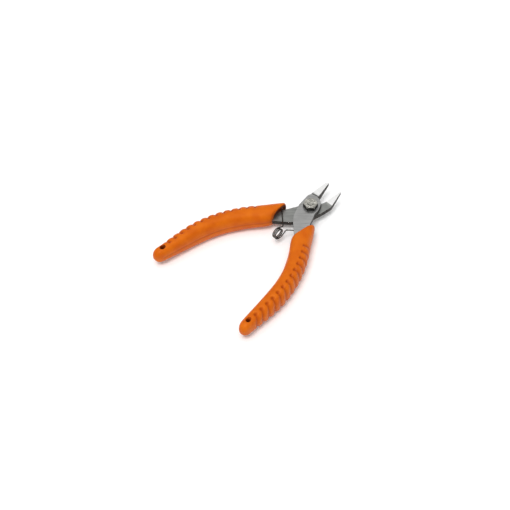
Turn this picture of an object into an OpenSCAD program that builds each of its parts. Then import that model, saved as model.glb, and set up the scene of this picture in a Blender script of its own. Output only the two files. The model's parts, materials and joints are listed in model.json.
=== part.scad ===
// Small spring-return line nippers: two lapped plate blades on a hex-nut pivot,
// each with a curved moulded grip, held open by a wire spring.
// Each half is drawn closed, with the pivot at x = y = 0 and the lap face at z = 0,
// and then swung open to its rest position.

/* [Blades] */
// Thickness of each plate blade
blade_t = 2.8; // [2.4:0.1:3.2]
// Clearance between the two plates where they lap
lap_gap = 0.06; // [0.04:0.02:0.12]
// Distance from the pivot to the jaw tips
jaw_reach = 22; // [20:0.5:24]
// Width of the head around the pivot
head_w = 12.4; // [12:0.1:13]
// Clearance between the two closed jaw faces
jaw_gap = 0.06; // [0.04:0.02:0.2]
// Height of the jaws at their tips
tip_h = 2.1; // [1.6:0.1:2.6]
// Height of the middle of the tips above the lap face
tip_rise = 2.6; // [1.5:0.1:3]
// How far each half swings from closed to its rest position, in degrees
open_angle = 13.2; // [8:0.2:14]

/* [Grips] */
// Length of a grip's rounded end
end_len = 5.2; // [4:0.1:6]
// Rounding radius of the front rim of a grip
nose_round = 1.3; // [0.6:0.1:2]
// Rounding radius of the outer front corner of a grip, seen from above
nose_tip_r = 1.4; // [1:0.1:1.8]
// Rounding radius of the inner front corner of a grip, seen from above
nose_heel_r = 2.2; // [1:0.1:2.6]
// Half the greatest thickness of a grip
grip_half_h = 7.5; // [6:0.1:8]
// Radius of the lanyard hole through each grip
hole_r = 1.2; // [1:0.1:1.4]
// Depth of the flat recess around each mouth of the lanyard hole
recess_d = 0.5; // [0.3:0.1:0.8]
// Half the width of the steel tang inside a grip
tang_half_w = 2.4; // [2:0.1:2.8]

/* [Pivot] */
// Radius of the pivot bolt where the blades turn on it
bolt_r = 2.5; // [2:0.1:2.6]
// Radius of the threaded end of the bolt
thread_r = 2; // [1.6:0.1:2.2]
// Radial running clearance of the blades on the bolt
turn_gap = 0.05; // [0.03:0.01:0.1]
// Width of the hex nut across its flats
nut_af = 8.1; // [7.5:0.1:8.5]
// Height of the hex nut
nut_h = 3.0; // [2.6:0.1:3.4]
// Radius of the bolt head
bolt_head_r = 4.4; // [4:0.1:4.6]
// Height of the bolt head
bolt_head_h = 1.9; // [1.5:0.1:2.2]
// Thickness of the washer under the bolt head
washer_t = 0.5; // [0.4:0.1:0.6]

/* [Spring] */
// Diameter of the spring wire
wire_d = 0.76; // [0.7:0.02:0.9]
// Radius of the coil at the middle of the wire
coil_r = 3.3; // [2.8:0.1:3.5]
// Distance from the pivot back to the axis of the coil
coil_back = 28.2; // [27.8:0.1:28.6]
// Distance between neighbouring turns
coil_pitch = 1.0; // [0.95:0.05:1.3]
// Whole turns between the two legs, besides the part turn
coil_turns = 2; // [1:1:3]

/* [Hidden] */
$fn = 64;

// Faces of the plates and the places that follow from them
plate_low = lap_gap / 2;
plate_top = plate_low + blade_t;
seat_gap = 0.04;

// Head and jaw lines of the front half, closed
head_side = head_w / 2;
jaw_root = 8.9;
front_fold = 9.2;
rear_fold = 11;
fold_cut = [0.5, 0.45];
jaw_belly = 1.8;
tip_low = tip_rise - tip_h / 2;
tip_top = tip_rise + tip_h / 2;

// A grip's edge stations: outer x, y, inner x, y, and the share of the greatest half thickness
stations = [
    [10.1,  -9.0,  4.0, -23.6, 0.74],
    [12.9, -16.8,  3.6, -27.0, 0.79],
    [15.9, -24.6,  4.8, -31.0, 0.85],
    [19.0, -32.3,  7.7, -37.0, 0.91],
    [21.7, -40.3, 10.4, -43.8, 0.96],
    [24.0, -50.9, 13.1, -52.8, 1.00],
    [25.0, -61.7, 14.4, -62.2, 1.00],
    [24.7, -72.8, 14.4, -72.1, 0.97],
    [22.9, -83.7, 13.8, -82.4, 0.86],
    [21.4, -91.0, 13.2, -90.1, 0.76],
    [20.4, -96.8, 12.8, -96.3, 0.69],
];
ring_sides = 24;
span_rings = 3;
end_rings = 5;
nose_rings = 4;
squareness = 2.5;
hole_at = [17.0, -94.8];
hole_flat = grip_half_h * 0.69 - recess_d;

// The spring's legs at rest: the bend above the other plate and the point at the grip
leg_bend = [-1.5, -22.3, wire_d / 2 + 0.06];
leg_nose = [-11.4, -13.7, wire_d / 2 + 0.06];
leg_tail = 2.2;
pocket_gap = 0.15;
wire_sides = 8;
turn_steps = 18;

// The part stands on the grips' undersides, with its origin under the middle of its box
tip_y = jaw_reach * cos(open_angle);
end_mid = (edge(stations[len(stations) - 1], 0) + edge(stations[len(stations) - 1], 1)) / 2;
end_y = [sin(open_angle), cos(open_angle)] * (end_mid - [0, end_len]);
origin_shift = [0, -(tip_y + end_y) / 2, grip_half_h];

function edge(s, side) = [s[2 * side], s[2 * side + 1]];
function unit(v) = v / norm(v);
function quarter_turn(v) = [-v[1], v[0]];
function turned(p, a) = [p[0] * cos(a) - p[1] * sin(a), p[0] * sin(a) + p[1] * cos(a)];

// A smooth curve through the middle two of four values, at t from 0 to 1
function between(a, b, c, d, t) =
    b + 0.5 * t * (c - a + t * (2 * a - 5 * b + 4 * c - d + t * (3 * (b - c) + d - a)));
function station_at(i, t, last = len(stations) - 1) =
    between(stations[max(i - 1, 0)], stations[i],
            stations[min(i + 1, last)], stations[min(i + 2, last)], t);

// One ring of a grip: the rounded box section between an outer and an inner edge point
function power(v, p) = sign(v) * pow(abs(v), p);
function section(mid, half, h) = [
    for (k = [0 : ring_sides - 1])
        let (a = 360 * (k + 0.5) / ring_sides,
             u = power(cos(a), 2 / squareness),
             v = power(sin(a), 2 / squareness))
        [mid[0] + half[0] * u, mid[1] + half[1] * u, h * v]
];
function ring(outer, inner, h) = section((outer + inner) / 2, (outer - inner) / 2, h);
function station_ring(s) = ring(edge(s, 0), edge(s, 1), s[4] * grip_half_h);

// The rounded front of a grip, from its full size at t = 0 to its flat face at t = 1
function nose_ring(t) =
    let (s = stations[0],
         next = stations[1],
         h = s[4] * grip_half_h - nose_round * (1 - cos(90 * t)))
    ring(arc_point(edge(next, 0), edge(s, 0), edge(s, 1), nose_tip_r, t),
         arc_point(edge(next, 1), edge(s, 1), edge(s, 0), nose_heel_r, t), h);
function end_ring(s, a) =
    let (half = (edge(s, 0) - edge(s, 1)) / 2,
         mid = (edge(s, 0) + edge(s, 1)) / 2,
         back = -unit(quarter_turn(half)))
    section(mid + back * end_len * sin(a), half * cos(a), s[4] * grip_half_h * cos(a));

grip_rings = [
    for (k = [nose_rings : -1 : 0]) nose_ring(k / nose_rings),
    for (i = [1 : len(stations) - 2], k = [0 : span_rings - 1])
        station_ring(station_at(i, k / span_rings)),
    for (k = [0 : end_rings - 1])
        end_ring(stations[len(stations) - 1], 84 * k / (end_rings - 1)),
];

// Triangles that close a stack of rings into a solid
function skin(rings, sides) = [
    for (i = [0 : rings - 2], k = [0 : sides - 1])
        let (a = i * sides + k, b = i * sides + (k + 1) % sides)
        each [[a, a + sides, b], [b, a + sides, b + sides]],
    [for (k = [0 : sides - 1]) k],
    [for (k = [sides - 1 : -1 : 0]) (rings - 1) * sides + k],
];

// The arc of radius r that rounds corner b between a and c: its sweep, and its point at t
function flat(p) = [p[0], p[1]];
function arc_sweep(a, b, c) = 180 - acos(unit(flat(a) - flat(b)) * unit(flat(c) - flat(b)));
function arc_point(a, b, c, r, t) =
    let (u = unit(flat(a) - flat(b)),
         v = unit(flat(c) - flat(b)),
         half = acos(u * v) / 2,
         centre = flat(b) + unit(u + v) * r / sin(half),
         start = flat(b) + u * r / tan(half) - centre,
         way = sign(u[1] * v[0] - u[0] * v[1]))
    centre + turned(start, way * arc_sweep(a, b, c) * t);

// Outline corners [x, y, r] become arcs of radius r
function corner_arc(a, b, c) =
    let (steps = max(2, ceil(arc_sweep(a, b, c) / 12)))
    [for (k = [0 : steps]) arc_point(a, b, c, b[2], k / steps)];
function rounded(corners) =
    let (n = len(corners))
    [for (i = [0 : n - 1])
        each corner_arc(corners[(i + n - 1) % n], corners[i], corners[(i + 1) % n])];

// The plate of the front half: head, neck and the tang inside its grip
tang_line = [for (i = [2 : 8]) (edge(stations[i], 0) + edge(stations[i], 1)) / 2];
tang_side = [for (i = [2 : 8]) tang_half_w * unit(edge(stations[i], 0) - edge(stations[i], 1))];
plate_outline = rounded([
    [-4.6, front_fold, 0.5],
    [-6.2, 7.0, 1.2],
    [-head_side - 0.5, -2.8, 6],
    [-4.8, -11.8, 8],
    [-2.6, -16.2, 6],
    [4.4, -25.6, 6],
    for (i = [0 : 6]) [each tang_line[i] - tang_side[i], 1.5],
    for (i = [6 : -1 : 0]) [each tang_line[i] + tang_side[i], 1.5],
    [7.6, -12.6, 10],
    [5.7, -4.3, 5],
    [head_side - 0.2, -0.8, 5],
    [4.6, 5.4, 1.6],
    [1.2, 8.0, 2],
    [-jaw_gap / 2, 8.2, 0.3],
    [-jaw_gap / 2, front_fold, 0.3],
]);

module plate() {
    difference() {
        translate([0, 0, plate_low]) linear_extrude(blade_t) polygon(plate_outline);
        translate([0, 0, -1]) cylinder(r = bolt_r + turn_gap, h = blade_t + 3);
    }
}

// A jaw left of the centre line: its plan and its side profile crossed
module jaw(tip_w, tip_slant, root_w, profile) {
    plan = [
        [-jaw_gap / 2, 7.8], [-jaw_gap / 2, jaw_reach - 0.2], [-0.25, jaw_reach],
        [-tip_w + 0.2, jaw_reach - tip_slant], [-tip_w, jaw_reach - tip_slant - 0.4],
        [-root_w + 0.7, 12.3], [-root_w, front_fold], [-root_w, 7.8],
    ];
    intersection() {
        translate([0, 0, -6]) linear_extrude(14) polygon(plan);
        translate([-8, 0, 0]) rotate([90, 0, 90]) linear_extrude(10) polygon(profile);
    }
}

module front_half_blade() {
    difference() {
        union() {
            plate();
            jaw(2.1, 1.1, 5.1, [
                [7.8, plate_low], [jaw_root, plate_low], [jaw_root, -jaw_belly],
                [12.5, -jaw_belly], [jaw_reach, tip_low], [jaw_reach, tip_top],
                [front_fold + 1, plate_top], [7.8, plate_top],
            ]);
        }
        translate([-8, front_fold - fold_cut[0] / 2, plate_top - fold_cut[1]])
            cube([9, fold_cut[0], 2]);
    }
}

module rear_half_blade() {
    rotate([0, 180, 0]) plate();
    mirror([1, 0, 0]) jaw(0.9, 0.3, 5.9, [
        [7.8, -plate_top], [12.5, -plate_top], [jaw_reach, tip_low], [jaw_reach, tip_top],
        [rear_fold, -plate_low], [7.8, -plate_low],
    ]);
}

module grip_body() {
    difference() {
        polyhedron(points = [for (r = grip_rings) each r], faces = skin(len(grip_rings), ring_sides));
        translate([hole_at[0], hole_at[1], -10]) cylinder(r = hole_r, h = 20);
        for (s = [-1, 1])
            translate([hole_at[0], hole_at[1], s * (hole_flat + 1.5)])
                cylinder(r = hole_r + 0.5, h = 3, center = true);
        translate([0, 0, plate_low]) linear_extrude(blade_t) polygon(plate_outline);
    }
}

// The hole in the front of a grip that holds the end of a spring leg
module leg_pocket() {
    run = leg_nose - leg_bend;
    translate(leg_nose - unit(run) * 3)
        rotate([0, 90, atan2(run[1], run[0])])
            cylinder(r = wire_d / 2 + pocket_gap, h = 3 + leg_tail + 0.4);
}

module placed() {
    translate(origin_shift) children();
}

module front_blade() {
    color("#a3a29e") placed() rotate([0, 0, open_angle]) front_half_blade();
}

module rear_blade() {
    color("#9a9a97") placed() rotate([0, 0, -open_angle]) rear_half_blade();
}

module front_grip() {
    color("#e27224") placed() difference() {
        rotate([0, 0, open_angle]) grip_body();
        rotate([0, 180, 0]) leg_pocket();
    }
}

module rear_grip() {
    color("#e27224") placed() difference() {
        rotate([0, 180, 0]) rotate([0, 0, open_angle]) grip_body();
        leg_pocket();
    }
}

module pivot_bolt() {
    head_top = -plate_top - seat_gap - washer_t;
    color("#8d8d8a") placed() difference() {
        union() {
            translate([0, 0, head_top - 0.001]) cylinder(r = bolt_r, h = plate_top + seat_gap - head_top);
            cylinder(r = thread_r, h = plate_top + seat_gap + nut_h + 0.35);
            rotate_extrude() polygon([
                [0, head_top - bolt_head_h], [bolt_head_r - 0.9, head_top - bolt_head_h],
                [bolt_head_r - 0.25, head_top - bolt_head_h + 0.35],
                [bolt_head_r, head_top - bolt_head_h + 1], [bolt_head_r, head_top], [0, head_top],
            ]);
        }
        translate([-6, -0.5, head_top - bolt_head_h - 1]) cube([12, 1, 1.9]);
    }
}

module pivot_nut() {
    corner_r = nut_af / 2 / cos(30);
    flat_r = nut_af / 2 - 0.25;
    wide_r = corner_r + 1;
    chamfer_slope = 0.9 / (corner_r - flat_r);
    color("#b5b4ae") placed() translate([0, 0, plate_top + seat_gap]) difference() {
        intersection() {
            rotate(-14.7) cylinder(r = corner_r, h = nut_h, $fn = 6);
            rotate_extrude() polygon([
                [0, -1], [wide_r, -1], [wide_r, nut_h - chamfer_slope * (wide_r - flat_r)],
                [flat_r, nut_h], [0, nut_h],
            ]);
        }
        translate([0, 0, -1]) cylinder(r = thread_r, h = nut_h + 2);
    }
}

module pivot_washer() {
    color("#b9b8b2") placed() translate([0, 0, -plate_top - seat_gap - washer_t]) difference() {
        cylinder(r = bolt_head_r + 0.3, h = washer_t);
        translate([0, 0, -1]) cylinder(r = bolt_r, h = washer_t + 2);
    }
}

// The wire's route: one leg, the coil about the X axis, and the other leg
leg_dir = unit(leg_nose - leg_bend);
bend_out = [leg_bend[1] + coil_back, leg_bend[2]];
leave_angle = atan2(bend_out[1], bend_out[0]) + acos(coil_r / norm(bend_out));
coil_sweep = 360 * (coil_turns + 1) - 2 * leave_angle;
coil_half = coil_pitch * coil_sweep / 720;
function coil_point(a) = [
    -coil_half + coil_pitch * a / 360,
    -coil_back + coil_r * cos(leave_angle + a),
    coil_r * sin(leave_angle + a)
];
function mirrored(p) = [-p[0], p[1], -p[2]];
left_leg = [
    leg_nose + leg_dir * leg_tail,
    leg_nose,
    leg_bend + leg_dir * 1.2,
    leg_bend + [-0.35, 0.15, 0],
    leg_bend + [0.05, -0.55, 0.15],
    (leg_bend + coil_point(0)) / 2,
];
wire_route = [
    each left_leg,
    for (k = [0 : ceil(coil_sweep / 360 * turn_steps)])
        coil_point(coil_sweep * k / ceil(coil_sweep / 360 * turn_steps)),
    for (k = [len(left_leg) - 1 : -1 : 0]) mirrored(left_leg[k]),
];

// A ring of the wire around each point of its route
function along(i, last = len(wire_route) - 1) =
    unit(wire_route[min(i + 1, last)] - wire_route[max(i - 1, 0)]);
function across(i) =
    let (middle = [0, -coil_back, 0],
         out = wire_route[i] - [wire_route[i][0], middle[1], middle[2]],
         hint = norm(out) < coil_r + 1 ? unit(out) : [0, 0, 1])
    unit(cross(along(i), hint));
function wire_ring(i) =
    let (u = across(i), v = cross(u, along(i)))
    [for (k = [0 : wire_sides - 1])
        let (a = 360 * k / wire_sides)
        wire_route[i] + wire_d / 2 * (u * cos(a) + v * sin(a))];

module return_spring() {
    color("#77736e") placed() polyhedron(
        points = [for (i = [0 : len(wire_route) - 1]) each wire_ring(i)],
        faces = skin(len(wire_route), wire_sides));
}

front_blade();
rear_blade();
front_grip();
rear_grip();
pivot_bolt();
pivot_nut();
pivot_washer();
return_spring();
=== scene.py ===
import json
import math

import bmesh
import bpy
from mathutils import Matrix, Vector


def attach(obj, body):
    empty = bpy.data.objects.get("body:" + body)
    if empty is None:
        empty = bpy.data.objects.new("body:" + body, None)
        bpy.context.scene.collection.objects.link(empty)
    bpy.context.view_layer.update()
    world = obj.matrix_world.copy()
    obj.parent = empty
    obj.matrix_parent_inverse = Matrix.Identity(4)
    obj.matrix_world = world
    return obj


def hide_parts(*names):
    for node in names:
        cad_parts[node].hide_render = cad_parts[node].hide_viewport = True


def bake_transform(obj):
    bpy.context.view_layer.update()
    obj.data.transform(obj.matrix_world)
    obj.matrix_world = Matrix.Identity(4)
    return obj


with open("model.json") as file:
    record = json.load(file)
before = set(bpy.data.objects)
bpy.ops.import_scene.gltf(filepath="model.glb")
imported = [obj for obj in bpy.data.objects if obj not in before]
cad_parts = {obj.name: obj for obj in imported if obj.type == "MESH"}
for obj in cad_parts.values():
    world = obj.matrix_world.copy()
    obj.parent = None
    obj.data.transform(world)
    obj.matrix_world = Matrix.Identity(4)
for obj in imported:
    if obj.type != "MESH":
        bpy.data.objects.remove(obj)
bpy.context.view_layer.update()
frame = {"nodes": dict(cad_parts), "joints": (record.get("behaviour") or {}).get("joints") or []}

# The object's own sizes below are in millimetres from the pivot, and MM turns them into metres
MM = 0.001

# The pivot's centre on the lap face, and the swing of each half at rest
front_swing = next(j for j in frame["joints"] if j["name"] == "front_swing")
PIVOT = Vector(front_swing["pos_m"])
OPEN_ANGLE = math.radians(front_swing["range_deg"][1])

# The camera: its direction and roll, its distance and field in metres, and its aim from the pivot
VIEW_AZIMUTH = math.radians(45.14)
VIEW_ELEVATION = math.radians(48.94)
VIEW_ROLL = math.radians(-2.86)
VIEW_DISTANCE = 0.8
VIEW_WIDTH = 0.31835
AIM = Vector((2.6, -49.9, 0)) * MM

# A grip's edge stations, closed: outer x, y, inner x, y, and the share of the half thickness
STATIONS = [
    (10.1, -9.0, 4.0, -23.6, 0.74),
    (12.9, -16.8, 3.6, -27.0, 0.79),
    (15.9, -24.6, 4.8, -31.0, 0.85),
    (19.0, -32.3, 7.7, -37.0, 0.91),
    (21.7, -40.3, 10.4, -43.8, 0.96),
    (24.0, -50.9, 13.1, -52.8, 1.00),
    (25.0, -61.7, 14.4, -62.2, 1.00),
    (24.7, -72.8, 14.4, -72.1, 0.97),
    (22.9, -83.7, 13.8, -82.4, 0.86),
    (21.4, -91.0, 13.2, -90.1, 0.76),
    (20.4, -96.8, 12.8, -96.3, 0.69),
]
GRIP_HALF_H = 7.44
END_LEN = 5.15
END_SWEEP = math.radians(86)
EDGE_INSET = 0.08
SQUARENESS = 2.5
RING_SIDES = 112
RING_STEP = 0.32
NOSE_RINGS = 10
END_RINGS = 14
NOSE_OUTER_R = 1.4
NOSE_INNER_R = 2.2
NOSE_TOP_R = 1.3
FACE_DISH = 0.7
DISH_RINGS = 8

# The moulded ribs: the first groove's distance along the grip, the spacing, count, depth and
# width of the grooves, the pit at each inner end, the rounded crowns between the grooves, which
# start and stop with the grooves and fade inward, and the slant of the later grooves
RIB_FIRST = 14.6
RIB_PITCH = 4.86
RIB_COUNT = 13
RIB_DEPTH = 0.62
RIB_WIDTH = 0.85
RIB_PIT = 0.85
RIB_PIT_AT = 0.93
RIB_PIT_SPREAD = 0.14
RIB_PIT_WIDEN = 0.3
RIB_CROWN = 0.35
CROWN_RUN_IN = (-0.6, 0.4)
CROWN_FADE = (0.3, 0.95)
RIB_SLANT = 2.4
RIB_SLANT_POWER = 1.3
# How far round from the outer edge the grooves run, at the first and the last groove
RIB_START = (math.radians(71), math.radians(88))
RIB_FADE = (0.96, 1.12)
# The first grooves are shallower
RIB_EASE_IN = 4
RIB_FIRST_SHARE = 0.7

# The moulding's parting line, along the inner edge
PARTING_DEPTH = 0.22
PARTING_WIDTH = 0.045

# Painted shade: 1 is all of a groove's painted shade, and more turns into the front face's darker
# painted shade. A groove's painted shade is a little wider than its cut, and palest away from its
# pit.
PAINTED_SHADE_WIDEN = 1.3
PAINTED_SHADE_FLOOR = 0.62
PARTING_PAINTED_SHADE = 0.6
FACE_PAINTED_SHADE = 1.6

# The lanyard hole and its flared mouth, and the wire's pocket in a grip's front
HOLE_AT = (17.0, -94.8)
HOLE_R = 1.2
HOLE_FLARE = [(0, -1.0), (0.12, -0.55), (0.35, -0.2), (0.8, 0.15), (2.0, 1.5)]
POCKET_GAP = 0.12
POCKET_LEN = 3
POCKET_END_GAP = 0.5

# The spring: wire, coil and legs, as in the design
WIRE_R = 0.38
COIL_R = 3.3
COIL_BACK = 28.2
COIL_PITCH = 1.0
COIL_TURNS = 2
LEG_BEND = Vector((-1.5, -22.3, 0.44))
LEG_NOSE = Vector((-11.4, -13.7, 0.44))
LEG_TAIL = 2.2
LEG_STEP = 0.25
COIL_STEP_DEG = 6
WIRE_SIDES = 16

# The rubber's oranges: two that mottle the surface, and the painted shade of the grooves and of the
# front face
ORANGE = (0.71, 0.152, 0.004, 1)
ORANGE_DEEP = (0.625, 0.114, 0.003, 1)
ORANGE_GROOVE_PAINTED_SHADE = (0.32, 0.036, 0.002, 1)
ORANGE_FACE_PAINTED_SHADE = (0.11, 0.018, 0.002, 1)
RUBBER_SHEEN = (1, 0.62, 0.3, 1)

# The steels: faces, sheared sides painted dark with shade, ground jaws, bevels painted bright as
# highlights, and wire
FRONT_PLATE = (0.61, 0.61, 0.60, 1)
# The rear plate is the front plate's steel painted darker with shade
REAR_PLATE_PAINTED_SHADE = (0.45, 0.46, 0.44, 1)
PLATE_SIDE_PAINTED_SHADE = (0.06, 0.055, 0.05, 1)
PLATED = (0.94, 0.92, 0.83, 1)
PLATED_SIDE_PAINTED_SHADE = (0.012, 0.011, 0.009, 1)
GROUND = (1.0, 1.0, 0.99, 1)
GROUND_LINE = (0.88, 0.88, 0.87, 1)
# The bevels' steel, brighter than the faces, paints glints and highlight lines along the edges; the
# second tone makes duller patches
EDGE = (0.95, 0.94, 0.92, 1)
EDGE_PAINTED_HIGHLIGHT_DULL = (0.72, 0.71, 0.69, 1)
WIRE = (0.13, 0.118, 0.105, 1)
WIRE_MARK = (0.06, 0.052, 0.046, 1)
GRIND_TURN = math.radians(-45)
GRIND_STRETCH = (1, 14, 1)
# How far in front of the pivot each jaw's ground face begins. The rear jaw's begins further out,
# leaving a wedge of the rear plate's painted shade at its root
FRONT_GROUND_AT = 9.2
REAR_GROUND_AT = 11.2

# The surround's brightness by the height of the direction, 0 at the horizon and 1 overhead, then
# the sun and the floor, whose half width is in metres
SKY_LEVELS = [(0.0, 0.45), (0.4, 0.45), (0.62, 0.28), (0.76, 0.3), (0.82, 1.25), (1.0, 1.35)]
SUN_WAY = (0.1, -0.35, 1.0)
SUN_STRENGTH = 1.35
SUN_SPREAD = math.radians(24)
FLOOR_HALF = 3
FLOOR_WHITE = 0.96
FLOOR_GLOW = 0.08


def power(value, exponent):
    """The value's size raised to the exponent, with the value's own sign."""
    return math.copysign(abs(value) ** exponent, value)


def smooth(low, high, value):
    """A smooth step from 0 at low to 1 at high."""
    t = min(max((value - low) / (high - low), 0), 1)
    return t * t * (3 - 2 * t)


def catmull(a, b, c, d, t):
    """A point at t from 0 to 1 between b and c, on a smooth curve through them."""
    return b + 0.5 * t * (c - a + t * (2 * a - 5 * b + 4 * c - d + t * (3 * (b - c) + d - a)))


def fillet(corner, way_a, way_b, radius, t):
    """A point on the arc that rounds a corner, from the first way at t = 0 to the second at 1."""
    half = way_a.angle(way_b) / 2
    centre = corner + (way_a + way_b).normalized() * radius / math.sin(half)
    start = corner + way_a * radius / math.tan(half) - centre
    end = corner + way_b * radius / math.tan(half) - centre
    return centre + start.slerp(end, t)


# ---------------------------------------------------------------- grips


def nose_ring(t):
    """The rounded front of a grip: its outer and inner points and height, t = 1 on the face."""
    outer, inner = Vector(STATIONS[0][0:2]), Vector(STATIONS[0][2:4])
    outer_back = (Vector(STATIONS[1][0:2]) - outer).normalized()
    inner_back = (Vector(STATIONS[1][2:4]) - inner).normalized()
    face = (inner - outer).normalized()
    height = GRIP_HALF_H * STATIONS[0][4] - NOSE_TOP_R * (1 - math.cos(t * math.pi / 2))
    return (
        fillet(outer, outer_back, face, NOSE_OUTER_R, t),
        fillet(inner, inner_back, -face, NOSE_INNER_R, t),
        height,
    )


def grip_rings():
    """Every ring of a grip from front to back, as its middle, half width and half height."""
    rings = []
    for k in range(NOSE_RINGS, 0, -1):
        outer, inner, height = nose_ring(k / NOSE_RINGS)
        rings.append(((outer + inner) / 2, (outer - inner) / 2, height))
    outer, inner, height = nose_ring(0)
    stations = [(*outer, *inner, height / GRIP_HALF_H), *STATIONS[1:]]
    last = len(stations) - 1
    for i in range(last):
        quad = [stations[min(max(i + d, 0), last)] for d in (-1, 0, 1, 2)]
        span = math.dist(quad[1][0:4], quad[2][0:4]) / math.sqrt(2)
        steps = max(2, round(span / RING_STEP))
        for k in range(steps):
            row = [catmull(*values, k / steps) for values in zip(*quad)]
            outer, inner = Vector(row[0:2]), Vector(row[2:4])
            rings.append(((outer + inner) / 2, (outer - inner) / 2, row[4] * GRIP_HALF_H))
    outer, inner = Vector(STATIONS[-1][0:2]), Vector(STATIONS[-1][2:4])
    mid, half = (outer + inner) / 2, (outer - inner) / 2
    back = Vector((half.y, -half.x)).normalized()
    for k in range(END_RINGS):
        a = END_SWEEP * k / (END_RINGS - 1)
        height = STATIONS[-1][4] * GRIP_HALF_H * math.cos(a)
        rings.append((mid + back * END_LEN * math.sin(a), half * math.cos(a), height))
    return rings


def bell(value, width):
    """1 at value 0, falling away smoothly over the width."""
    return math.exp(-((value / width) ** 2))


def groove_and_painted_shade(along, a):
    """How deep the ribs and parting line cut, and how much shade is painted into them, along and
    around a grip.
    """
    share = min(max((along - RIB_FIRST) / (RIB_PITCH * (RIB_COUNT - 1)), 0), 1)
    start = RIB_START[0] + (RIB_START[1] - RIB_START[0]) * share
    around = abs(a) / start
    if around > RIB_FADE[1]:
        parting = bell(abs(a) - math.pi, PARTING_WIDTH)
        return PARTING_DEPTH * parting, PARTING_PAINTED_SHADE * parting
    slant = RIB_SLANT * share * max(1 - around, 0) ** RIB_SLANT_POWER
    place = (along - slant - RIB_FIRST) / RIB_PITCH
    index = min(max(round(place), 0), RIB_COUNT - 1)
    gap = abs(place - index) * RIB_PITCH
    reach = 1 - smooth(*RIB_FADE, around)
    strength = RIB_FIRST_SHARE + (1 - RIB_FIRST_SHARE) * smooth(0, RIB_EASE_IN, index)
    pit = bell(around - RIB_PIT_AT, RIB_PIT_SPREAD)
    cut = bell(gap, RIB_WIDTH * (1 + RIB_PIT_WIDEN * pit)) * strength * reach
    # The painted shade in and beside the groove, darkest at its pit
    shade_paint = bell(gap, PAINTED_SHADE_WIDEN * RIB_WIDTH) * reach * (PAINTED_SHADE_FLOOR + (1 - PAINTED_SHADE_FLOOR) * pit)
    inside = smooth(*CROWN_RUN_IN, place) * smooth(*CROWN_RUN_IN, RIB_COUNT - 1 - place)
    crown = RIB_CROWN * (1 - math.cos(min(gap / RIB_PITCH, 0.5) * 2 * math.pi)) / 2
    shoulder = inside * strength * (1 - smooth(*CROWN_FADE, around))
    return RIB_DEPTH * cut * (1 + RIB_PIT * pit) - crown * shoulder, shade_paint


def grip_mesh(name):
    """The front grip, closed, in millimetres from the pivot, with its attribute of painted shade for
    the grooves and front face.
    """
    mesh = bpy.data.meshes.new(name)
    bm = bmesh.new()
    painted_shade_layer = bm.verts.layers.float.new("groove_and_painted_shade")
    rings = grip_rings()
    along = 0
    previous = rings[NOSE_RINGS][0]
    loops = []
    for n, (mid, half, height) in enumerate(rings):
        if n > NOSE_RINGS:
            along += (mid - previous).length
            previous = mid
        side = half.normalized()
        half = half - side * EDGE_INSET
        width = half.length
        # The nose's painted shade, darkest toward the front face
        shade = FACE_PAINTED_SHADE * smooth(0.4, 1.1, 1 - n / NOSE_RINGS)
        loop = []
        for k in range(RING_SIDES):
            a = 2 * math.pi * (k + 0.5) / RING_SIDES
            a = a if a <= math.pi else a - 2 * math.pi
            u, v = power(math.cos(a), 2 / SQUARENESS), power(math.sin(a), 2 / SQUARENESS)
            normal = Vector((power(u, SQUARENESS - 1) / width, power(v, SQUARENESS - 1) / height))
            normal.normalize()
            cut, shade_paint = groove_and_painted_shade(along, a) if NOSE_RINGS < n < len(rings) - END_RINGS else (0, shade)
            flat = mid + half * u - side * normal.x * cut
            vert = bm.verts.new((flat.x, flat.y, height * v - normal.y * cut))
            vert[painted_shade_layer] = shade_paint
            loop.append(vert)
        loops.append(loop)
    for front, back in zip(loops, loops[1:]):
        for k in range(RING_SIDES):
            m = (k + 1) % RING_SIDES
            bm.faces.new((front[k], back[k], back[m], front[m]))
    dish_front(bm, loops[0], rings[0], painted_shade_layer)
    tip = bm.verts.new((*rings[-1][0], 0))
    for k in range(RING_SIDES):
        bm.faces.new((loops[-1][k], tip, loops[-1][(k + 1) % RING_SIDES]))
    bm.to_mesh(mesh)
    bm.free()
    return mesh


def dish_front(bm, rim, ring, painted_shade_layer):
    """Close the front of a grip with a shallow dish around the blade, painted dark with shade."""
    mid, half = ring[0:2]
    back = Vector((half.y, -half.x)).normalized()
    outer = rim
    for step in range(1, DISH_RINGS + 1):
        share = 1 - step / (DISH_RINGS + 1)
        sink = FACE_DISH * smooth(0, 0.35, 1 - share)
        loop = []
        for k in range(RING_SIDES):
            offset = Vector(rim[k].co[0:2]) - mid
            flat = mid + offset * share + back * sink
            vert = bm.verts.new((flat.x, flat.y, rim[k].co.z * share))
            vert[painted_shade_layer] = FACE_PAINTED_SHADE
            loop.append(vert)
        for k in range(RING_SIDES):
            m = (k + 1) % RING_SIDES
            bm.faces.new((outer[m], loop[m], loop[k], outer[k]))
        outer = loop
    centre = mid + back * FACE_DISH
    hub = bm.verts.new((centre.x, centre.y, 0))
    hub[painted_shade_layer] = FACE_PAINTED_SHADE
    for k in range(RING_SIDES):
        bm.faces.new((outer[(k + 1) % RING_SIDES], hub, outer[k]))


def revolved(bm, profile, place, sides=40):
    """Add a closed turned solid, its profile radius, height, around a placed Z axis."""
    loops = []
    for radius, z in profile:
        loops.append([
            bm.verts.new(place @ Vector((radius * math.cos(a), radius * math.sin(a), z)))
            for a in (2 * math.pi * k / sides for k in range(sides))
        ])
    for low, high in zip(loops, loops[1:]):
        for k in range(sides):
            m = (k + 1) % sides
            bm.faces.new((low[k], low[m], high[m], high[k]))
    bm.faces.new(list(reversed(loops[0])))
    bm.faces.new(loops[-1])


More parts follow.
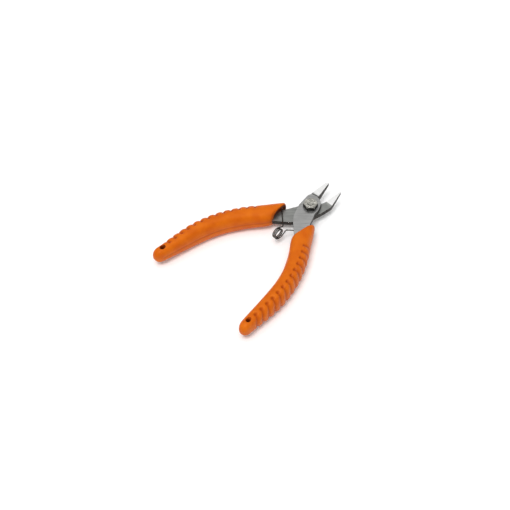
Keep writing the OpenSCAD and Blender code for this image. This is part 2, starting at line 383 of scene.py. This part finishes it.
def hole_profile():
    """The lanyard hole's outline as radius and height, flared at both mouths."""
    mouth = GRIP_HALF_H * STATIONS[-1][4]
    upper = [(HOLE_R + wider, mouth + above) for wider, above in HOLE_FLARE]
    return [(r, -z) for r, z in reversed(upper)] + upper


def grip_cutter():
    """The lanyard hole and the spring's pocket, in the closed front grip's frame."""
    mesh = bpy.data.meshes.new("grip_cutter")
    bm = bmesh.new()
    revolved(bm, hole_profile(), Matrix.Translation((*HOLE_AT, 0)))
    bend, nose = turned_over(LEG_BEND), turned_over(LEG_NOSE)
    way = (nose - bend).normalized()
    place = Matrix.Rotation(-OPEN_ANGLE, 4, "Z") @ Matrix.Translation(nose)
    place = place @ way.to_track_quat("Z", "Y").to_matrix().to_4x4()
    pocket = WIRE_R + POCKET_GAP
    revolved(bm, [(pocket, -POCKET_LEN), (pocket, LEG_TAIL + POCKET_END_GAP)], place, 24)
    bm.to_mesh(mesh)
    bm.free()
    return mesh


def turned_over(point):
    """The matching point of the other half."""
    return Vector((-point[0], point[1], -point[2]))


def to_frame(half):
    """From millimetres at the pivot, closed, to the row's frame with the half open."""
    flip = Matrix.Rotation(math.pi, 4, "Y") if half == "rear" else Matrix.Identity(4)
    opened = flip @ Matrix.Rotation(OPEN_ANGLE, 4, "Z")
    return Matrix.Translation(PIVOT) @ Matrix.Scale(MM, 4) @ opened


def new_object(name, mesh):
    obj = bpy.data.objects.new(name, mesh)
    bpy.context.scene.collection.objects.link(obj)
    return obj


def cut_away(body, cutter):
    """The body's mesh with the cutter's solid taken out of it."""
    modifier = body.modifiers.new("cut", "BOOLEAN")
    modifier.operation = "DIFFERENCE"
    modifier.solver = "EXACT"
    modifier.object = cutter
    bpy.context.view_layer.update()
    depsgraph = bpy.context.evaluated_depsgraph_get()
    result = bpy.data.meshes.new_from_object(body.evaluated_get(depsgraph))
    for obj in (body, cutter):
        bpy.data.objects.remove(obj)
    return result


def grips(material):
    """Both grips from one moulding."""
    body = new_object("moulding", grip_mesh("moulding"))
    moulding = cut_away(body, new_object("cutter", grip_cutter()))
    for half in ("front", "rear"):
        mesh = moulding.copy()
        mesh.transform(to_frame(half))
        mesh.shade_smooth()
        mesh.set_sharp_from_angle(angle=math.radians(42))
        mesh.materials.clear()
        mesh.materials.append(material)
        piece = new_object(f"{half}_grip_moulding", mesh)
        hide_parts(f"{half}_grip")
        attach(piece, f"{half}_half")


# ---------------------------------------------------------------- spring


def coil_ends():
    """The angle at which the wire leaves the coil, and the whole sweep between its legs."""
    out = Vector((LEG_BEND.y + COIL_BACK, LEG_BEND.z))
    leave = math.atan2(out.y, out.x) + math.acos(COIL_R / out.length)
    return leave, 2 * math.pi * (COIL_TURNS + 1) - 2 * leave


def coil_point(a):
    leave, sweep = coil_ends()
    x = COIL_PITCH * (a - sweep / 2) / (2 * math.pi)
    return Vector((x, -COIL_BACK + COIL_R * math.cos(leave + a), COIL_R * math.sin(leave + a)))


def leg_route():
    """The left leg's route, from inside the grip to the coil."""
    way = (LEG_NOSE - LEG_BEND).normalized()
    knots = [
        LEG_NOSE + way * LEG_TAIL,
        LEG_NOSE,
        LEG_BEND + way * 1.2,
        LEG_BEND + Vector((-0.35, 0.15, 0)),
        LEG_BEND + Vector((0.05, -0.55, 0.15)),
        (LEG_BEND + coil_point(0)) / 2,
        coil_point(0),
        coil_point(math.radians(20)),
    ]
    route = []
    for i in range(len(knots) - 2):
        quad = [knots[min(max(i + d, 0), len(knots) - 1)] for d in (-1, 0, 1, 2)]
        steps = max(4, round((quad[2] - quad[1]).length / LEG_STEP))
        route += [catmull(*quad, k / steps) for k in range(steps)]
    return route + [coil_point(0)]


def wire_mesh(name, route):
    """A round wire along a route in millimetres, moved to the row's frame."""
    bm = bmesh.new()
    up = Vector((0, 0, 1))
    loops = []
    for i, point in enumerate(route):
        way = (route[min(i + 1, len(route) - 1)] - route[max(i - 1, 0)]).normalized()
        side = way.cross(up).normalized()
        up = side.cross(way)
        loops.append([
            bm.verts.new(point + WIRE_R * (side * math.cos(a) + up * math.sin(a)))
            for a in (2 * math.pi * k / WIRE_SIDES for k in range(WIRE_SIDES))
        ])
    for low, high in zip(loops, loops[1:]):
        for k in range(WIRE_SIDES):
            m = (k + 1) % WIRE_SIDES
            bm.faces.new((low[k], low[m], high[m], high[k]))
    bm.faces.new(list(reversed(loops[0])))
    bm.faces.new(loops[-1])
    bmesh.ops.recalc_face_normals(bm, faces=bm.faces)
    mesh = bpy.data.meshes.new(name)
    bm.to_mesh(mesh)
    bm.free()
    mesh.transform(Matrix.Translation(PIVOT) @ Matrix.Scale(MM, 4))
    mesh.shade_smooth()
    return mesh


def spring(material):
    """The coil, which stays with the pivot, and two legs."""
    sweep = coil_ends()[1]
    steps = round(math.degrees(sweep) / COIL_STEP_DEG)
    coil = wire_mesh("coil", [coil_point(sweep * k / steps) for k in range(steps + 1)])
    left_route = leg_route()
    right_route = [turned_over(p) for p in left_route]
    pieces = [new_object("spring_coil", coil)]
    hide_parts("return_spring")
    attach(pieces[0], "pivot")
    legs = (("left", left_route, "rear_half"), ("right", right_route, "front_half"))
    for name, route, body in legs:
        leg = new_object(f"spring_leg_{name}", wire_mesh(f"leg_{name}", route))
        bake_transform(leg)
        pieces.append(leg)
    for piece in pieces:
        piece.data.materials.append(material)


# ---------------------------------------------------------------- materials


class Nodes:
    """A short way to write a material's nodes."""

    def __init__(self, name):
        self.material = bpy.data.materials.new(name)
        self.material.use_nodes = True
        self.tree = self.material.node_tree
        self.shader = self.tree.nodes["Principled BSDF"]

    def add(self, kind, inputs=(), **settings):
        node = self.tree.nodes.new(kind)
        for key, value in settings.items():
            setattr(node, key, value)
        for key, value in dict(inputs).items():
            self.feed(node.inputs[key], value)
        return node

    def feed(self, socket, value):
        if isinstance(value, bpy.types.NodeSocket):
            self.tree.links.new(value, socket)
        else:
            socket.default_value = value

    def noise(self, scale, stretch=(1, 1, 1), detail=3, rough=0.5, turn=0.0):
        """Noise over the piece, drawn out by stretch in a frame turned about Z."""
        place = self.add("ShaderNodeTexCoord").outputs["Object"]
        scaled = self.add("ShaderNodeMapping", {
            "Vector": place, "Scale": stretch, "Rotation": (0, 0, turn),
        }, vector_type="TEXTURE")
        return self.add("ShaderNodeTexNoise", {
            "Vector": scaled.outputs[0], "Scale": scale, "Detail": detail, "Roughness": rough,
        }).outputs["Fac"]

    def span(self, value, low, high, new_low=0.0, new_high=1.0):
        return self.add("ShaderNodeMapRange", {
            "Value": value, "From Min": low, "From Max": high, "To Min": new_low, "To Max": new_high,
        }).outputs[0]

    def mix(self, share, a, b):
        node = self.add("ShaderNodeMix", data_type="RGBA")
        self.feed(node.inputs[0], share)
        self.feed(node.inputs[6], a)
        self.feed(node.inputs[7], b)
        return node.outputs[2]

    def maths(self, operation, a, b=0.0):
        return self.add("ShaderNodeMath", {0: a, 1: b}, operation=operation).outputs[0]

    def bump(self, height, distance, strength=1.0, normal=None):
        inputs = {"Height": height, "Distance": distance, "Strength": strength}
        if normal is not None:
            inputs["Normal"] = normal
        return self.add("ShaderNodeBump", inputs).outputs[0]


def dimmer(colour, share):
    """The colour with this share of its brightness."""
    return (*(share * c for c in colour[:3]), 1)


def orange_rubber():
    """Satin moulded rubber: soft mottling, fine mould grain, and painted shade in the grooves and on
    the front face.
    """
    n = Nodes("orange_rubber")
    # This attribute is painted shade: up to 1 in the grooves and parting line, and beyond 1 on the
    # front face
    cut = n.add("ShaderNodeAttribute", attribute_name="groove_and_painted_shade").outputs["Fac"]
    mottle = n.span(n.noise(140, detail=4), 0.35, 0.65)
    colour = n.mix(mottle, ORANGE, ORANGE_DEEP)
    colour = n.mix(n.span(cut, 0.1, 0.95, 0, 0.8), colour, ORANGE_GROOVE_PAINTED_SHADE)
    colour = n.mix(n.span(cut, 1.0, FACE_PAINTED_SHADE), colour, ORANGE_FACE_PAINTED_SHADE)
    n.feed(n.shader.inputs["Base Color"], colour)
    rough = n.span(n.noise(420, detail=3), 0.3, 0.7, 0.4, 0.52)
    n.feed(n.shader.inputs["Roughness"], rough)
    n.shader.inputs["Specular IOR Level"].default_value = 0.3
    n.shader.inputs["Specular Tint"].default_value = RUBBER_SHEEN
    grain = n.bump(n.noise(5200, detail=2), 0.00004, 0.5)
    waves = n.bump(n.noise(260, detail=2), 0.0001, 0.35, grain)
    n.feed(n.shader.inputs["Normal"], waves)
    return n.material


def steel(name, colour, painted_shade_side_colour, rough, stretch, unevenness, ground_at=None):
    """Steel with fine lines on its faces, sheared sides painted dark with shade, and perhaps a ground
    jaw.
    """
    n = Nodes(name)
    normal = n.add("ShaderNodeTexCoord").outputs["Normal"]
    up = n.maths("ABSOLUTE", n.add("ShaderNodeSeparateXYZ", {0: normal}).outputs["Z"])
    face = n.span(up, 0.55, 0.85)
    brushed = n.noise(1100, stretch, detail=4, rough=0.6, turn=GRIND_TURN)
    blotch = n.noise(160, detail=3)
    face_colour = n.mix(n.span(brushed, 0.3, 0.7), colour, dimmer(colour, 0.66))
    face_colour = n.mix(n.span(blotch, 0.4, 0.7, 0, 0.15), face_colour, painted_shade_side_colour)
    shear = n.noise(700, (1, 1, 8), detail=4, rough=0.65)
    side = n.mix(n.span(shear, 0.3, 0.7), painted_shade_side_colour, dimmer(painted_shade_side_colour, 0.6))
    # Faces that point up or down keep the steel's colour; the steeper sides take the painted shade
    base = n.mix(face, side, face_colour)
    if ground_at is not None:
        base = n.mix(n.maths("MULTIPLY", ground_share(n, ground_at), face), base, ground_lines(n))
    n.feed(n.shader.inputs["Base Color"], base)
    face_rough = n.span(brushed, 0.3, 0.7, rough - 0.05, rough + 0.08)
    side_rough = n.span(shear, 0.3, 0.7, 0.42, 0.6)
    on_face = n.maths("MULTIPLY", face, face_rough)
    on_side = n.maths("MULTIPLY", n.maths("SUBTRACT", 1.0, face), side_rough)
    n.feed(n.shader.inputs["Roughness"], n.maths("ADD", on_face, on_side))
    n.shader.inputs["Metallic"].default_value = 1
    uneven = n.bump(n.noise(420, detail=2), unevenness)
    fine = n.bump(brushed, 0.00001, 0.5, uneven)
    n.feed(n.shader.inputs["Normal"], n.bump(shear, 0.00002, 0.35, fine))
    return n.material


def ground_share(n, ground_at):
    """1 in front of a line across the blade, 0 behind it."""
    place = n.add("ShaderNodeTexCoord").outputs["Object"]
    y = n.add("ShaderNodeSeparateXYZ", {0: place}).outputs["Y"]
    line = PIVOT.y + ground_at * MM
    return n.span(y, line - 0.3 * MM, line + 0.3 * MM)


def ground_lines(n):
    """The bright face of a jaw, with the fine lines that grinding leaves across it."""
    across = n.noise(1500, (10, 1, 10), detail=3, rough=0.6)
    return n.mix(n.span(across, 0.3, 0.7), GROUND, GROUND_LINE)


def edge_painted_highlight_steel():
    """The bevels' bright steel, lighter than the faces: painted highlights, so the edges show glints
    and bright lines, with duller patches.
    """
    n = Nodes("edge_painted_highlight_steel")
    highlight_patches = n.noise(900, detail=4, rough=0.6)
    n.feed(n.shader.inputs["Base Color"], n.mix(n.span(highlight_patches, 0.35, 0.65), EDGE, EDGE_PAINTED_HIGHLIGHT_DULL))
    n.feed(n.shader.inputs["Roughness"], n.span(highlight_patches, 0.3, 0.7, 0.16, 0.3))
    n.shader.inputs["Metallic"].default_value = 1
    return n.material


def wire_steel():
    """Drawn spring wire: dark, fairly bright, with faint draw marks."""
    n = Nodes("spring_wire_steel")
    marks = n.noise(1800, detail=4, rough=0.6)
    n.feed(n.shader.inputs["Base Color"], n.mix(n.span(marks, 0.3, 0.7), WIRE, WIRE_MARK))
    n.feed(n.shader.inputs["Roughness"], n.span(marks, 0.3, 0.7, 0.22, 0.4))
    n.shader.inputs["Metallic"].default_value = 1
    n.feed(n.shader.inputs["Normal"], n.bump(marks, 0.00001, 0.4))
    return n.material


def finish_metal():
    """Bevel the CAD metal's edges, giving the bevels the bright steel of painted highlights, and give
    each piece its steel.
    """
    front = steel("front_plate_steel", FRONT_PLATE, PLATE_SIDE_PAINTED_SHADE, 0.34, GRIND_STRETCH, 0.002 * MM,
                  FRONT_GROUND_AT)
    # The rear plate: the same steel, painted darker with shade
    rear = steel("rear_plate_steel_painted_shade", REAR_PLATE_PAINTED_SHADE, PLATE_SIDE_PAINTED_SHADE, 0.36, GRIND_STRETCH, 0.002 * MM,
                 REAR_GROUND_AT)
    # The plated nut, bolt and washer have their sides painted near black with shade
    plated = steel("plated_steel", PLATED, PLATED_SIDE_PAINTED_SHADE, 0.2, (1, 1, 1), 0.18 * MM)
    # edge is the bevels' bright steel, which paints their highlights
    edge = edge_painted_highlight_steel()
    looks = {
        "front_blade": (front, 0.14), "rear_blade": (rear, 0.14), "pivot_nut": (plated, 0.18),
        "pivot_bolt": (plated, 0.15), "pivot_washer": (plated, 0.1),
    }
    for name, (material, width) in looks.items():
        node = frame["nodes"][name]
        node.data.materials.clear()
        node.data.materials.append(material)
        node.data.materials.append(edge)
        weld = node.modifiers.new("weld", "WELD")
        weld.merge_threshold = 0.002 * MM
        bevel = node.modifiers.new("edges", "BEVEL")
        bevel.width = width * MM
        bevel.segments = 3
        bevel.limit_method = "ANGLE"
        bevel.angle_limit = math.radians(32)
        bevel.material = 1
        bevel.harden_normals = True


# ---------------------------------------------------------------- studio and camera


def camera():
    """The camera at the photograph's angle."""
    out = Vector((
        math.cos(VIEW_ELEVATION) * math.sin(VIEW_AZIMUTH),
        -math.cos(VIEW_ELEVATION) * math.cos(VIEW_AZIMUTH),
        math.sin(VIEW_ELEVATION),
    ))
    data = bpy.data.cameras.new("camera")
    data.sensor_width = 36
    data.lens = 36 * VIEW_DISTANCE / VIEW_WIDTH
    obj = new_object("camera", data)
    place = PIVOT + out * VIEW_DISTANCE
    aim = (PIVOT + AIM - place).to_track_quat("-Z", "Y").to_matrix()
    obj.matrix_world = Matrix.Translation(place) @ (aim @ Matrix.Rotation(VIEW_ROLL, 3, "Z")).to_4x4()
    bpy.context.scene.camera = obj


def sky():
    """A pale surround: bright overhead, dim at half height and greyer at the horizon."""
    world = bpy.data.worlds.new("world")
    bpy.context.scene.world = world
    world.use_nodes = True
    tree = world.node_tree
    place = tree.nodes.new("ShaderNodeTexCoord")
    split = tree.nodes.new("ShaderNodeSeparateXYZ")
    ramp = tree.nodes.new("ShaderNodeValToRGB")
    while len(ramp.color_ramp.elements) < len(SKY_LEVELS):
        ramp.color_ramp.elements.new(0.5)
    for element, (position, level) in zip(ramp.color_ramp.elements, SKY_LEVELS):
        element.position = position
        element.color = (level, level, level, 1)
    tree.links.new(place.outputs["Generated"], split.inputs[0])
    tree.links.new(split.outputs["Z"], ramp.inputs[0])
    tree.links.new(ramp.outputs[0], tree.nodes["Background"].inputs["Color"])
    tree.nodes["Background"].inputs["Strength"].default_value = 1.0


def sun():
    """One broad soft light, high and a little toward the handles."""
    data = bpy.data.lights.new("key", "SUN")
    data.energy = SUN_STRENGTH
    data.angle = SUN_SPREAD
    obj = new_object("key", data)
    obj.rotation_euler = (-Vector(SUN_WAY)).to_track_quat("-Z", "Y").to_euler()


def studio():
    """A pale floor under soft light from above."""
    bpy.context.scene.view_settings.view_transform = "Standard"
    sky()
    sun()
    mesh = bpy.data.meshes.new("floor")
    corners = [(x * FLOOR_HALF, y * FLOOR_HALF, 0) for x, y in ((-1, -1), (1, -1), (1, 1), (-1, 1))]
    mesh.from_pydata(corners, [], [(0, 1, 2, 3)])
    n = Nodes("floor")
    n.shader.inputs["Base Color"].default_value = (FLOOR_WHITE, FLOOR_WHITE, FLOOR_WHITE, 1)
    n.shader.inputs["Emission Color"].default_value = (1, 1, 1, 1)
    n.shader.inputs["Emission Strength"].default_value = FLOOR_GLOW
    n.shader.inputs["Roughness"].default_value = 0.8
    n.shader.inputs["Specular IOR Level"].default_value = 0.2
    mesh.materials.append(n.material)
    new_object("floor", mesh)


camera()
studio()
grips(orange_rubber())
spring(wire_steel())
finish_metal()
